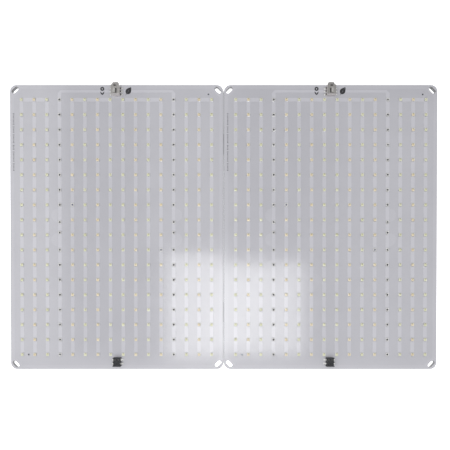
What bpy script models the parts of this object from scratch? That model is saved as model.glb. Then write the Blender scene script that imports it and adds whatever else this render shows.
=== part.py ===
"""Two-board LED grow light, laid on its back.

Metres, +Z up. The emitting side faces +Z and the joining bars rest on z = 0. +Y points to the
edge that carries the selector switches, -Y to the edge that carries the power terminals. The
origin is the centre of the footprint on the resting plane.
"""

import math

import bmesh
import bpy
from mathutils import Matrix, Vector
from mathutils.geometry import delaunay_2d_cdt

MM = 0.001

# Boards
BOARD_W = 213 * MM
BOARD_H = 284 * MM
BOARD_CORNER_R = 6.5 * MM
SEAM = 0.8 * MM
BOARD_X = (BOARD_W + SEAM) / 2
GAP = 0.2 * MM
BAR_T = 3 * MM
SPREADER_T = 1.5 * MM
SHEET_T = 0.4 * MM
PCB_T = 1.6 * MM
SHEET_INSET = 1 * MM
SPREADER_SEAM = 0.1 * MM

# Mounting slots, one across each corner, and tooling holes
SLOT_L = 8 * MM
SLOT_W = 4 * MM
SLOT_EDGE = 5.2 * MM
TOOLING_R = 0.9 * MM
TOOLING_HOLES = [(91.7 * MM, 132.5 * MM), (-88.5 * MM, -127.3 * MM)]

# LED grid: 16 strings of 18 packages, on copper tracks that link the strings in blocks
COLUMNS = 16
ROWS = 18
PITCH_X = 12.65 * MM
PITCH_Y = 14.97 * MM
LED_SIZE = 3 * MM
LED_H = 0.7 * MM
WHITE_BLOCKS = ((1, 3), (5, 8), (9, 12), (14, 16))
RED_COLUMNS = (4, 13)
RED_MIDDLE_Y = 5.25 * MM
TRACK_W = 3.7 * MM
TRACK_T = 0.1 * MM
TRACK_LIFT = 0.05 * MM
FEED_W = 2.5 * MM
FEED_Y = 135.6 * MM
FEED_CHAMFER = 3 * MM
FEED_END = 7.5 * MM

# Selector switch
SWITCH_X = -0.3 * MM
SWITCH_Y = 135.4 * MM
CASE_W = 8.4 * MM
CASE_L = 9.1 * MM
CASE_WALL = 0.3 * MM
CASE_H = 6 * MM
LUG_W = 6.8 * MM
LUG_REACH = 3.4 * MM
LUG_H = 3.5 * MM
LUG_CORNER = 1.4 * MM
POLE_PITCH = 3 * MM
SWITCH_THROW = 1.2 * MM
KNOB_W = 2 * MM
KNOB_L = 4.2 * MM
KNOB_Y = -1.35 * MM
KNOB_PROUD = 0.9 * MM
CONTACT_T = 0.25 * MM

# Power terminal
TERMINAL_X = {"left": 0.7 * MM, "right": -0.9 * MM}
TERMINAL_Y = -134.4 * MM
HOUSING_L = 8.8 * MM
HOUSING_CORE = 3.2 * MM
HOUSING_RIB = 0.6 * MM
HOUSING_H = 6 * MM
POLE_X = 1.6 * MM
POLE_HALF = 1.1 * MM
TAB_Y = 1.85 * MM
TAB_W = 1.1 * MM
WIRE_R = 1 * MM
BUTTON_Y = -1.5 * MM
BUTTON = 1.2 * MM
BUTTON_SHOULDER = 1.7 * MM

# Joining bars and their fixings
BAR_L = 220 * MM
BAR_W = 20 * MM
BAR_Y = 85 * MM
SCREW_X = 90 * MM
SCREW_HEAD_R = 2.75 * MM
SCREW_SHANK_R = 1.45 * MM
NUT_R = 2.7 * MM
NUT_HOLE_R = 2.95 * MM
ROUND_STEPS = 12

# Levels, from the resting plane up
SPREADER_Z = BAR_T + GAP
SHEET_Z = SPREADER_Z + SPREADER_T + GAP
PCB_Z = SHEET_Z + SHEET_T + GAP
PCB_TOP = PCB_Z + PCB_T
SEAT_Z = PCB_TOP + GAP
TRACK_Z = PCB_TOP + TRACK_LIFT

MATERIALS = {
    "white_solder_mask": ((0.74, 0.74, 0.79), 0.0, 0.22),
    "thermal_pad": ((0.52, 0.55, 0.60), 0.0, 0.8),
    "rolled_aluminium": ((0.76, 0.77, 0.79), 1.0, 0.38),
    "white_led": ((0.86, 0.84, 0.52), 0.0, 0.35),
    "red_led": ((0.62, 0.52, 0.54), 0.0, 0.25),
    "nickel_plate": ((0.52, 0.49, 0.46), 1.0, 0.36),
    "black_moulding": ((0.03, 0.033, 0.04), 0.0, 0.45),
    "grey_nylon": ((0.62, 0.61, 0.59), 0.0, 0.45),
    "tinned_copper": ((0.80, 0.79, 0.76), 1.0, 0.3),
    "spring_bronze": ((0.72, 0.50, 0.30), 1.0, 0.3),
    "zinc_steel": ((0.66, 0.67, 0.69), 1.0, 0.3),
}


def clear_scene():
    for obj in list(bpy.data.objects):
        bpy.data.objects.remove(obj, do_unlink=True)


def material(name):
    found = bpy.data.materials.get(name)
    if found:
        return found
    colour, metallic, roughness = MATERIALS[name]
    made = bpy.data.materials.new(name)
    made.use_nodes = True
    shader = made.node_tree.nodes["Principled BSDF"]
    shader.inputs["Base Color"].default_value = (*colour, 1.0)
    shader.inputs["Metallic"].default_value = metallic
    shader.inputs["Roughness"].default_value = roughness
    return made


# Outlines: lists of (u, v) points


def rectangle(width, height, centre=(0, 0)):
    u, v = width / 2, height / 2
    corners = [(-u, -v), (u, -v), (u, v), (-u, v)]
    return [(centre[0] + x, centre[1] + y) for x, y in corners]


def arc(centre, radius, start, end, steps):
    """Points on an arc in degrees, both ends included."""
    angles = [math.radians(start + (end - start) * i / steps) for i in range(steps + 1)]
    return [(centre[0] + radius * math.cos(a), centre[1] + radius * math.sin(a)) for a in angles]


def circle(radius, centre=(0, 0), steps=ROUND_STEPS):
    return arc(centre, radius, 0, 360, steps)[:-1]


def rounded_rectangle(width, height, radius, steps=5):
    u, v = width / 2 - radius, height / 2 - radius
    points = []
    for quarter, centre in enumerate([(u, v), (-u, v), (-u, -v), (u, -v)]):
        points += arc(centre, radius, 90 * quarter, 90 * quarter + 90, steps)
    return points


def obround(length, width, centre, angle, steps=5):
    """A slot outline whose long way lies at the given angle in degrees."""
    half = (length - width) / 2
    points = arc((half, 0), width / 2, -90, 90, steps) + arc((-half, 0), width / 2, 90, 270, steps)
    turn = Matrix.Rotation(math.radians(angle), 2)
    return [tuple(turn @ Vector(p) + Vector(centre)) for p in points]


def ribbon(points, thickness):
    """The outline of a bent strip of even thickness that follows the given centre line."""
    points = [Vector(p) for p in points]
    left, right = [], []
    for i, point in enumerate(points):
        before = (point - points[i - 1]).normalized() if i else None
        after = (points[i + 1] - point).normalized() if i + 1 < len(points) else None
        one, two = before or after, after or before
        across = Vector((-one.y, one.x)) + Vector((-two.y, two.x))
        across.normalize()
        reach = thickness / 2 / across.dot(Vector((-one.y, one.x)))
        left.append(tuple(point + across * reach))
        right.append(tuple(point - across * reach))
    return left + right[::-1]


# Solids, added to a bmesh

TRIANGLES_INSIDE = 1
MERGE = 1e-7
AXES = {
    "X": lambda u, v, w: (w, u, v),
    "Y": lambda u, v, w: (u, w, v),
    "Z": lambda u, v, w: (u, v, w),
}


def stack(bm, outline, levels, axis="Z", holes=(), islands=()):
    """A closed prism along one axis.

    Holes run right through it. Islands are outlines inside its own that rise from its upper
    level to a third one.
    """
    place = AXES[axis]

    def ring(points, level):
        return [bm.verts.new(place(u, v, level)) for u, v in points]

    def wall(low, high):
        for i in range(len(low)):
            j = (i + 1) % len(low)
            bm.faces.new((low[i], low[j], high[j], high[i]))

    def cap(rings, outlines):
        """Fills the first outline but not the others, which are all convex."""
        flat = [vertex for r in rings for vertex in r]
        owner = [i for i, r in enumerate(rings) for _ in r]
        points = [Vector(p) for loop in outlines for p in loop]
        edges, first = [], 0
        for loop in outlines:
            edges += [(first + i, first + (i + 1) % len(loop)) for i in range(len(loop))]
            first += len(loop)
        result = delaunay_2d_cdt(points, edges, [], TRIANGLES_INSIDE, MERGE)
        for triangle in result[2]:
            corners = [result[3][i][0] for i in triangle]
            loops = {owner[i] for i in corners}
            if len(loops) > 1 or loops == {0}:
                bm.faces.new([flat[i] for i in corners])

    outlines = [outline, *holes]
    lows = [ring(points, levels[0]) for points in outlines]
    highs = [ring(points, levels[1]) for points in outlines]
    roots = [ring(points, levels[1]) for points in islands]
    for low, high in zip(lows, highs):
        wall(low, high)
    cap(lows, outlines)
    cap(highs + roots, outlines + list(islands))
    for root, points in zip(roots, islands):
        top = ring(points, levels[2])
        wall(root, top)
        cap([top], [points])


def prism(bm, outline, low, high, axis="Z", holes=()):
    stack(bm, outline, [low, high], axis, holes)


def block(bm, low, high):
    """An upright box between two corners."""
    size = [high[i] - low[i] for i in range(2)]
    middle = [(high[i] + low[i]) / 2 for i in range(2)]
    prism(bm, rectangle(*size, middle), low[2], high[2])


def turned(bm, profile, centre):
    """A round solid from (radius, z) points, the first and last of them on the axis."""
    rings = []
    for radius, z in profile:
        if radius == 0:
            rings.append([bm.verts.new((*centre, z))])
        else:
            rings.append([bm.verts.new((u, v, z)) for u, v in circle(radius, centre)])
    for low, high in zip(rings, rings[1:]):
        for i in range(ROUND_STEPS):
            j = (i + 1) % ROUND_STEPS
            corners = [low[i % len(low)], low[j % len(low)], high[j % len(high)], high[i % len(high)]]
            bm.faces.new(list(dict.fromkeys(corners)))


def make(name, finish, build, parent=None, place=(0, 0, 0), smooth=False, helper=False):
    """One object from a function that fills a bmesh."""
    bm = bmesh.new()
    build(bm)
    bmesh.ops.recalc_face_normals(bm, faces=bm.faces)
    mesh = bpy.data.meshes.new(name)
    bm.to_mesh(mesh)
    bm.free()
    obj = bpy.data.objects.new(name, mesh)
    bpy.context.scene.collection.objects.link(obj)
    obj.parent = parent
    obj.location = place
    if helper:
        obj.hide_render = True
        obj.display_type = "WIRE"
    else:
        mesh.materials.append(material(finish))
    if smooth:
        mesh.shade_smooth()
        mesh.set_sharp_from_angle(angle=math.radians(40))
    return obj


def boolean(obj, other, operation="DIFFERENCE"):
    modifier = obj.modifiers.new(other.name, "BOOLEAN")
    modifier.operation = operation
    modifier.object = other


def helper_for(obj, suffix, build):
    """A hidden cutter or addition that sits where its object sits."""
    return make(f"{obj.name}_{suffix}", None, build, obj.parent, obj.location, helper=True)


# Board layers


def corner_slots():
    reach_x, reach_y = BOARD_W / 2 - SLOT_EDGE, BOARD_H / 2 - SLOT_EDGE
    slots = []
    for sx in (-1, 1):
        for sy in (-1, 1):
            slots.append(obround(SLOT_L, SLOT_W, (sx * reach_x, sy * reach_y), -45 * sx * sy))
    return slots


def screw_places():
    return [(sx * SCREW_X, sy * BAR_Y) for sx in (-1, 1) for sy in (1, -1)]


def board_outline():
    return rounded_rectangle(BOARD_W, BOARD_H, BOARD_CORNER_R)


def circuit_board(side, board):
    holes = corner_slots() + [circle(TOOLING_R, place) for place in TOOLING_HOLES]
    make(
        f"{side}_circuit_board",
        "white_solder_mask",
        lambda bm: prism(bm, board_outline(), PCB_Z, PCB_TOP, holes=holes),
        board,
    )


def thermal_sheet(side, board):
    """The bonding sheet keeps clear of the slots, so each of its corners is cut off."""
    u, v = BOARD_W / 2 - SHEET_INSET, BOARD_H / 2 - SHEET_INSET
    cut = 2 * SLOT_EDGE + SLOT_W
    outline = [(u, cut - v), (u, v - cut), (u - cut, v), (cut - u, v)]
    outline += [(-x, -y) for x, y in outline]
    make(
        f"{side}_thermal_sheet",
        "thermal_pad",
        lambda bm: prism(bm, outline, SHEET_Z, SHEET_Z + SHEET_T),
        board,
    )


def heat_spreader(side, board, board_x):
    """The plate reaches a little under the seam, so the two plates close it from behind."""
    lip = (SEAM - SPREADER_SEAM) / 2
    shift = -math.copysign(lip / 2, board_x)
    wide = rounded_rectangle(BOARD_W + lip, BOARD_H, BOARD_CORNER_R)
    outline = [(x + shift, y) for x, y in wide]
    nut_holes = [
        circle(NUT_HOLE_R, (x - board_x, y)) for x, y in screw_places() if x * board_x > 0
    ]
    make(
        f"{side}_heat_spreader",
        "rolled_aluminium",
        lambda bm: prism(
            bm,
            outline,
            SPREADER_Z,
            SPREADER_Z + SPREADER_T,
            holes=corner_slots() + nut_holes,
        ),
        board,
    )


def column_x(column):
    return (column - (COLUMNS + 1) / 2) * PITCH_X


def row_y(row, red=False):
    """Rows count down from the switch edge. A red string's two middle packages sit closer."""
    y = ((ROWS + 1) / 2 - row) * PITCH_Y
    if red and abs(y) < PITCH_Y:
        y = math.copysign(RED_MIDDLE_Y, y)
    return y


def packages(columns, red=False):
    rows = range(1, ROWS + 1)
    size = (LED_SIZE, LED_SIZE)
    return [rectangle(*size, (column_x(c), row_y(r, red))) for c in columns for r in rows]


def comb_outline(columns):
    """Tracks down each column, joined by a link across their upper ends."""
    half = TRACK_W / 2
    top, bottom = row_y(1) + half, row_y(ROWS) - half
    points = [(column_x(columns[-1]) + half, top), (column_x(columns[0]) - half, top)]
    for column in columns:
        x = column_x(column)
        if column != columns[0]:
            points.append((x - half, top - TRACK_W))
        points += [(x - half, bottom), (x + half, bottom)]
        if column != columns[-1]:
            points.append((x + half, top - TRACK_W))
    return points


def red_outline(column):
    """A track down the column with a feed from the switch that turns into it at a chamfer."""
    x, half, feed = abs(column_x(column)), TRACK_W / 2, FEED_W / 2
    bottom = row_y(ROWS) - half
    points = [(x + half, bottom), (x + half, FEED_Y + feed - FEED_CHAMFER)]
    points += [(x + half - FEED_CHAMFER, FEED_Y + feed), (FEED_END, FEED_Y + feed)]
    points += [(FEED_END, FEED_Y - feed), (x - half, FEED_Y - feed), (x - half, bottom)]
    return [(math.copysign(u, column_x(column)), v) for u, v in points]


def led_strings(side, board):
    def string(name, finish, outline, columns, red=False):
        levels = (TRACK_Z, TRACK_Z + TRACK_T, TRACK_Z + TRACK_T + LED_H)
        make(
            f"{side}_{name}",
            finish,
            lambda bm: stack(bm, outline, levels, islands=packages(columns, red)),
            board,
        )

    for first, last in WHITE_BLOCKS:
        columns = range(first, last + 1)
        string(f"led_strings_{first}_to_{last}", "white_led", comb_outline(columns), columns)
    for column in RED_COLUMNS:
        string(f"red_led_string_{column}", "red_led", red_outline(column), [column], red=True)


# Selector switch. Its levels:
BASE_TOP = SEAT_Z + 1.2 * MM
CONTACT_TOP = BASE_TOP + 0.15 * MM
CASE_FOOT = SEAT_Z + GAP
CASE_TOP = PCB_TOP + CASE_H
WIPER_Z = CONTACT_TOP + 0.25 * MM
SLIDER_Z = WIPER_Z + 0.85 * MM
SLIDER_TOP = CASE_TOP - CASE_WALL - 0.4 * MM
KNOB_TOP = CASE_TOP + KNOB_PROUD
POLES = (-POLE_PITCH, 0, POLE_PITCH)
PIN_W = 1 * MM
PIN_FOOT_X = 6 * MM


def switch_base(side, board, place):
    """A moulding with its contacts moulded in: three commons, and three throws on each side
    that end in feet on the board."""
    inner = 2 * (CASE_WALL + GAP)
    middle = CONTACT_TOP - CONTACT_T / 2
    foot = SEAT_Z + CONTACT_T / 2
    bend = 4.75 * MM
    throw = [(1.4 * MM, middle), (bend, middle), (bend + 0.2 * MM, foot), (PIN_FOOT_X, foot)]
    pad = 0.8 * MM
    base = make(
        f"{side}_switch_base",
        "black_moulding",
        lambda bm: prism(bm, rectangle(CASE_W - inner, CASE_L - inner), SEAT_Z, BASE_TOP),
        board,
        place,
    )

    def contacts(bm):
        for y in POLES:
            low, high = y - PIN_W / 2, y + PIN_W / 2
            for sx in (-1, 1):
                prism(bm, [(sx * u, v) for u, v in ribbon(throw, CONTACT_T)], low, high, "Y")
            block(bm, (-pad, low, CONTACT_TOP - CONTACT_T), (pad, high, CONTACT_TOP))

    boolean(base, helper_for(base, "contacts", contacts), "UNION")


def switch_case(side, board, place):
    """A folded steel cover with a lower hollow lug that reaches over the board's edge."""
    u, v = CASE_W / 2, CASE_L / 2
    iu, iv = u - CASE_WALL, v - CASE_WALL
    lug_u, lug_v = LUG_W / 2, v + LUG_REACH
    lug_top = PCB_TOP + LUG_H
    slot_u = KNOB_W / 2 + SWITCH_THROW / 2 + 0.15 * MM
    slot_v = KNOB_L / 2 + 0.2 * MM
    window_u, window_v = 1.3 * MM, (3.05 * MM, 4.2 * MM)
    notch = PIN_W / 2 + 0.25 * MM
    over = 1 * MM
    case = make(
        f"{side}_switch_case",
        "nickel_plate",
        lambda bm: block(bm, (-u, -v, CASE_FOOT), (u, v, CASE_TOP)),
        board,
        place,
    )

    def lug(bm):
        tip = arc((lug_u - LUG_CORNER, lug_v - LUG_CORNER), LUG_CORNER, 0, 90, 3)
        outline = [(lug_u, iv), *tip, *[(-x, y) for x, y in tip[::-1]], (-lug_u, iv)]
        prism(bm, outline, CASE_FOOT, lug_top)

    def cavities(bm):
        block(bm, (-iu, -iv, CASE_FOOT - over), (iu, iv, CASE_TOP - CASE_WALL))
        low = (CASE_WALL - lug_u, v + CASE_WALL, CASE_FOOT - over)
        block(bm, low, (lug_u - CASE_WALL, lug_v - LUG_CORNER, lug_top - CASE_WALL))

    def openings(bm):
        low, high = CASE_TOP - 2 * CASE_WALL, CASE_TOP + over
        block(bm, (-slot_u, KNOB_Y - slot_v, low), (slot_u, KNOB_Y + slot_v, high))
        block(bm, (-window_u, window_v[0], low), (window_u, window_v[1], high))

    def notches(bm):
        for y in POLES:
            top = CONTACT_TOP + GAP
            block(bm, (-u - over, y - notch, CASE_FOOT - over), (u + over, y + notch, top))

    boolean(case, helper_for(case, "lug", lug), "UNION")
    boolean(case, helper_for(case, "cavities", cavities))
    boolean(case, helper_for(case, "openings", openings))
    boolean(case, helper_for(case, "notches", notches))


def switch_detent_spring(side, board, place):
    """A leaf across the end of the case whose bump rides in the slider's two notches."""
    leaf_y, tip_y = 4.08 * MM, 3.66 * MM
    end, bump = 3.6 * MM, 0.55 * MM
    line = [(-end, leaf_y), (-bump, leaf_y), (0, tip_y), (bump, leaf_y), (end, leaf_y)]
    make(
        f"{side}_switch_detent_spring",
        "spring_bronze",
        lambda bm: prism(bm, ribbon(line, 0.15 * MM), SLIDER_Z + 0.4 * MM, SLIDER_TOP - 0.4 * MM),
        board,
        place,
    )


def switch_slider(side, board, place):
    """The knob and the block under it. The block's far side has a notch for each position."""
    half, low, high = 2.3 * MM, -3.55 * MM, 3.75 * MM
    stop, notch, hump = SWITCH_THROW / 2 + 0.45 * MM, SWITCH_THROW / 2, 0.45 * MM
    rim = [(stop, high), (notch, 3.3 * MM), (hump, 3.5 * MM)]
    rim += [(-x, y) for x, y in rim[::-1]]
    outline = [(-half, low), (half, low), (half, high), *rim, (-half, high)]
    make(
        f"{side}_switch_slider",
        "grey_nylon",
        lambda bm: stack(
            bm,
            outline,
            (SLIDER_Z, SLIDER_TOP, KNOB_TOP),
            islands=[rectangle(KNOB_W, KNOB_L, (0, KNOB_Y))],
        ),
        board,
        place,
    )


def switch_wipers(side, board, place):
    """Three bridging springs under the slider. Each joins a common to one of its throws."""
    foot, rise, half = 1.15 * MM, 0.55 * MM, 0.45 * MM
    line = [
        (-foot - 0.4 * MM, WIPER_Z + 0.25 * MM),
        (-foot, WIPER_Z),
        (-rise, WIPER_Z + rise),
        (rise, WIPER_Z + rise),
        (foot, WIPER_Z),
        (foot + 0.4 * MM, WIPER_Z + 0.25 * MM),
    ]

    for letter, y in zip("abc", POLES):
        make(
            f"{side}_switch_wiper_{letter}",
            "spring_bronze",
            lambda bm: prism(bm, ribbon(line, 0.2 * MM), -half, half, "Y"),
            board,
            (place[0], place[1] + y, 0),
        )


def selector_switch(side, board, rest_side):
    """rest_side is -1 where the knob stands at its -X stop and 1 where it stands at its +X stop."""
    place = (SWITCH_X, SWITCH_Y, 0)
    knob_place = (SWITCH_X + rest_side * SWITCH_THROW / 2, SWITCH_Y, 0)
    switch_base(side, board, place)
    switch_case(side, board, place)
    switch_detent_spring(side, board, place)
    switch_slider(side, board, knob_place)
    switch_wipers(side, board, knob_place)


# Power terminal. Its levels:
HOUSING_TOP = SEAT_Z + HOUSING_H
CAVITY_Z = SEAT_Z + 0.6 * MM
CAVITY_TOP = HOUSING_TOP - 1 * MM
STRIP_Z = CAVITY_Z + GAP
STRIP_T = 0.3 * MM
WIRE_Z = SEAT_Z + 2.6 * MM
BUTTON_FOOT = SEAT_Z + 4 * MM
BUTTON_TOP = HOUSING_TOP - 0.2 * MM
POLE_SIDES = (-1, 1)


def terminal_housing(side, board, place):
    """The moulded body: three guard ribs on each flank, and a chamber for each pole."""
    end = HOUSING_L / 2
    rib = 0.5 * MM
    core, flank = HOUSING_CORE, HOUSING_CORE + HOUSING_RIB
    right = [(flank, -end), (flank, -end + 2 * rib), (core, -end + 2 * rib)]
    right += [(core, -rib), (flank, -rib), (flank, rib), (core, rib)]
    right += [(core, end - 2 * rib), (flank, end - 2 * rib), (flank, end)]
    outline = right + [(-x, -y) for x, y in right]
    chamber_end = end - 0.8 * MM
    over = 1 * MM
    housing = make(
        f"{side}_terminal_housing",
        "black_moulding",
        lambda bm: prism(bm, outline, SEAT_Z, HOUSING_TOP),
        board,
        place,
    )

    def chambers(bm):
        for sx in POLE_SIDES:
            low, high = sorted((sx * (POLE_X - POLE_HALF), sx * (POLE_X + POLE_HALF)))
            block(bm, (low, -chamber_end, CAVITY_Z), (high, chamber_end, CAVITY_TOP))

    def wire_ways(bm):
        for sx in POLE_SIDES:
            outline = circle(WIRE_R, (sx * POLE_X, WIRE_Z))
            prism(bm, outline, -end - over, -chamber_end + over / 2, "Y")

    def top_openings(bm):
        half = BUTTON / 2 + 0.15 * MM
        for sx in POLE_SIDES:
            x = sx * POLE_X
            for low, high in ((BUTTON_Y - half, BUTTON_Y + half), (1.9 * MM, 3.3 * MM)):
                top = HOUSING_TOP + over
                block(bm, (x - half, low, CAVITY_TOP - over / 2), (x + half, high, top))

    def tab_ways(bm):
        half = TAB_W / 2 + 0.15 * MM
        top = STRIP_Z + STRIP_T + GAP
        for sx in POLE_SIDES:
            low, high = sorted((sx * (POLE_X + POLE_HALF - over / 2), sx * (core + over / 5)))
            for y in (-TAB_Y, TAB_Y):
                block(bm, (low, y - half, CAVITY_Z), (high, y + half, top))

    boolean(housing, helper_for(housing, "chambers", chambers))
    boolean(housing, helper_for(housing, "wire_ways", wire_ways))
    boolean(housing, helper_for(housing, "top_openings", top_openings))
    boolean(housing, helper_for(housing, "tab_ways", tab_ways))


def terminal_contacts(side, board, place):
    """A strip for each pole, with two tabs that reach out to the board's pads."""
    half_l = 3.3 * MM
    middle, foot = STRIP_Z + STRIP_T / 2, SEAT_Z + STRIP_T / 2
    inner, bend, reach = POLE_X - 0.7 * MM, 4.15 * MM, 5.1 * MM
    line = [(inner, middle), (bend, middle), (bend + 0.15 * MM, foot), (reach, foot)]
    strip_edge = POLE_X + 0.85 * MM
    over = 1 * MM
    tab_in, tab_out = TAB_Y - TAB_W / 2, TAB_Y + TAB_W / 2
    stretches = ((-half_l - over, -tab_out), (-tab_in, tab_in), (tab_out, half_l + over))
    for letter, sx in zip("ab", POLE_SIDES):
        outline = [(sx * u, v) for u, v in ribbon(line, STRIP_T)]
        contact = make(
            f"{side}_terminal_contact_{letter}",
            "tinned_copper",
            lambda bm: prism(bm, outline, -half_l, half_l, "Y"),
            board,
            place,
        )

        def between_tabs(bm, sx=sx):
            low, high = sorted((sx * strip_edge, sx * (reach + over)))
            for start, end in stretches:
                block(bm, (low, start, SEAT_Z - over), (high, end, CAVITY_TOP))

        boolean(contact, helper_for(contact, "between_tabs", between_tabs))


def terminal_clamp_springs(side, board, place):
    """A leaf for each pole, bent over and down to a tip that bites on the wire."""
    heel, shoulder = 3.1 * MM, SEAT_Z + 4.65 * MM
    line = [
        (heel, STRIP_Z + STRIP_T + 0.35 * MM),
        (heel, shoulder - 0.5 * MM),
        (heel - 0.5 * MM, shoulder),
        (1.3 * MM, shoulder),
        (-1.9 * MM, SEAT_Z + 1.8 * MM),
    ]
    half = 0.7 * MM
    for letter, sx in zip("ab", POLE_SIDES):
        make(
            f"{side}_terminal_spring_{letter}",
            "spring_bronze",
            lambda bm: prism(bm, ribbon(line, CONTACT_T), -half, half, "X"),
            board,
            (place[0] + sx * POLE_X, place[1], 0),
        )


def terminal_release_buttons(side, board, place):
    shoulder_top = CAVITY_TOP - GAP
    shoulder, stem = rectangle(BUTTON_SHOULDER, BUTTON_SHOULDER), rectangle(BUTTON, BUTTON)
    levels = (BUTTON_FOOT, shoulder_top, BUTTON_TOP)
    for letter, sx in zip("ab", POLE_SIDES):
        make(
            f"{side}_release_button_{letter}",
            "black_moulding",
            lambda bm: stack(bm, shoulder, levels, islands=[stem]),
            board,
            (place[0] + sx * POLE_X, place[1] + BUTTON_Y, 0),
        )


def power_terminal(side, board):
    place = (TERMINAL_X[side], TERMINAL_Y, 0)
    terminal_housing(side, board, place)
    terminal_contacts(side, board, place)
    terminal_clamp_springs(side, board, place)
    terminal_release_buttons(side, board, place)


# Joining bars and fixings


def joining_bars():
    """Flat bars across both boards' backs, countersunk from behind."""
    sink = 1.9 * MM
    wide, narrow = SCREW_HEAD_R + 0.25 * MM, SCREW_SHANK_R + 0.25 * MM
    profile = [(0, -GAP), (wide, -GAP), (wide, GAP), (narrow, sink)]
    profile += [(narrow, BAR_T + GAP), (0, BAR_T + GAP)]

    def sinks(bm):
        for x in (-SCREW_X, SCREW_X):
            turned(bm, profile, (x, 0))

    for name, y in (("upper", BAR_Y), ("lower", -BAR_Y)):
        bar = make(
            f"{name}_joining_bar",
            "rolled_aluminium",
            lambda bm: prism(bm, rounded_rectangle(BAR_L, BAR_W, 2 * MM, 3), 0, BAR_T),
            place=(0, y, 0),
        )
        boolean(bar, helper_for(bar, "sinks", sinks))


def joining_fixings():
    """At each screw place, a countersunk screw and the flush nut in the spreader that takes it."""
    face, neck, tip = 0.1 * MM, 1.5 * MM, SPREADER_Z + SPREADER_T - 0.1 * MM
    socket_r, socket_z = 1 * MM, 1.1 * MM
    profile = [(0, socket_z), (socket_r, socket_z), (socket_r, face), (SCREW_HEAD_R, face)]
    profile += [(SCREW_SHANK_R, neck), (SCREW_SHANK_R, tip), (0, tip)]
    low, high = SPREADER_Z + 0.05 * MM, SPREADER_Z + SPREADER_T - 0.05 * MM
    bore = circle(SCREW_SHANK_R + 0.15 * MM)
    for number, (x, y) in enumerate(screw_places(), 1):
        make(
            f"joining_screw_{number}",
            "zinc_steel",
            lambda bm: turned(bm, profile, (0, 0)),
            place=(x, y, 0),
            smooth=True,
        )
        make(
            f"clinch_nut_{number}",
            "zinc_steel",
            lambda bm: prism(bm, circle(NUT_R, steps=6), low, high, holes=[bore]),
            place=(x, y, 0),
        )


def main():
    clear_scene()
    for side, sign in (("left", -1), ("right", 1)):
        board = bpy.data.objects.new(f"{side}_board", None)
        bpy.context.scene.collection.objects.link(board)
        board.location.x = sign * BOARD_X
        heat_spreader(side, board, sign * BOARD_X)
        thermal_sheet(side, board)
        circuit_board(side, board)
        led_strings(side, board)
        selector_switch(side, board, sign)
        power_terminal(side, board)
    joining_bars()
    joining_fixings()


main()
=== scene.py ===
"""Two-board LED grow light: its finished looks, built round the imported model.

Metres, +Z up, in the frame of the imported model: the emitting side faces +Z, and +Y points to the
edge with the selector switches.
"""

import math

import bmesh
import bpy
from mathutils import Matrix, Vector
from mathutils.geometry import delaunay_2d_cdt


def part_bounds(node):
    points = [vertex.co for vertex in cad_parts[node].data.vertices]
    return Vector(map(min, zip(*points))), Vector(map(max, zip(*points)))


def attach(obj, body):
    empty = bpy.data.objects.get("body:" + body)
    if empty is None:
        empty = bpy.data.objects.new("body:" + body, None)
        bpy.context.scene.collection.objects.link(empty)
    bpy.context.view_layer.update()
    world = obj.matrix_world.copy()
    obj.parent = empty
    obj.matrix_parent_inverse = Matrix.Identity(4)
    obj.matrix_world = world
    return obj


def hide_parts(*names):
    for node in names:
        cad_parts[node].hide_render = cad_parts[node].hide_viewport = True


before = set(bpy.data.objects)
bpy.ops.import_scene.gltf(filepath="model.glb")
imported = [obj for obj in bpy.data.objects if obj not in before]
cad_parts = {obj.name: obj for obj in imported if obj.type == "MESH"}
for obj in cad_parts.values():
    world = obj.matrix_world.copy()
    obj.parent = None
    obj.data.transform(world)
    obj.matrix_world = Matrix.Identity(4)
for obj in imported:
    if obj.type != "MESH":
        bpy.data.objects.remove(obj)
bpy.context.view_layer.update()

MM = 0.001
SIDES = ("left", "right")
ROOT = "boards"

# LED grid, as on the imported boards
COLUMNS = 16
ROWS = 18
PITCH_X = 12.65 * MM
PITCH_Y = 14.97 * MM
# First and last column of each block of linked white strings
WHITE_BLOCKS = ((1, 3), (5, 8), (9, 12), (14, 16))
RED_COLUMNS = (4, 13)
RED_MIDDLE_Y = 5.25 * MM
WARM_COLUMNS = (2, 5, 7, 10, 12, 15)
# Column and row of each odd package
DEEP_PACKAGES = ((5, 8), (12, 11))
TRACK_W = 3.7 * MM
FEED_W = 2.5 * MM
FEED_Y = 135.6 * MM
FEED_CHAMFER = 3 * MM
FEED_END = 7.5 * MM
PACKAGE = 3 * MM
PACKAGE_H = 0.7 * MM
# How far a layer on the board starts below its face
SINK = 0.01 * MM


# Meshes


def arc(centre, radius, start, end, steps):
    """Points on an arc in degrees, both ends included."""
    angles = [math.radians(start + (end - start) * i / steps) for i in range(steps + 1)]
    return [(centre[0] + radius * math.cos(a), centre[1] + radius * math.sin(a)) for a in angles]


def circle(radius, steps, centre=(0, 0)):
    return arc(centre, radius, 0, 360, steps)[:-1]


def rectangle(width, height, centre=(0, 0)):
    u, v = width / 2, height / 2
    return [(centre[0] + x, centre[1] + y) for x, y in ((-u, -v), (u, -v), (u, v), (-u, v))]


def rounded_rectangle(width, height, radius, steps=6, centre=(0, 0)):
    u, v = width / 2 - radius, height / 2 - radius
    points = []
    for quarter, (x, y) in enumerate([(u, v), (-u, v), (-u, -v), (u, -v)]):
        middle = (centre[0] + x, centre[1] + y)
        points += arc(middle, radius, 90 * quarter, 90 * quarter + 90, steps)
    return points


def moved(points, offset=(0, 0), turn=0.0):
    spin = Matrix.Rotation(math.radians(turn), 2)
    return [tuple(spin @ Vector(p) + Vector(offset)) for p in points]


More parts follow.
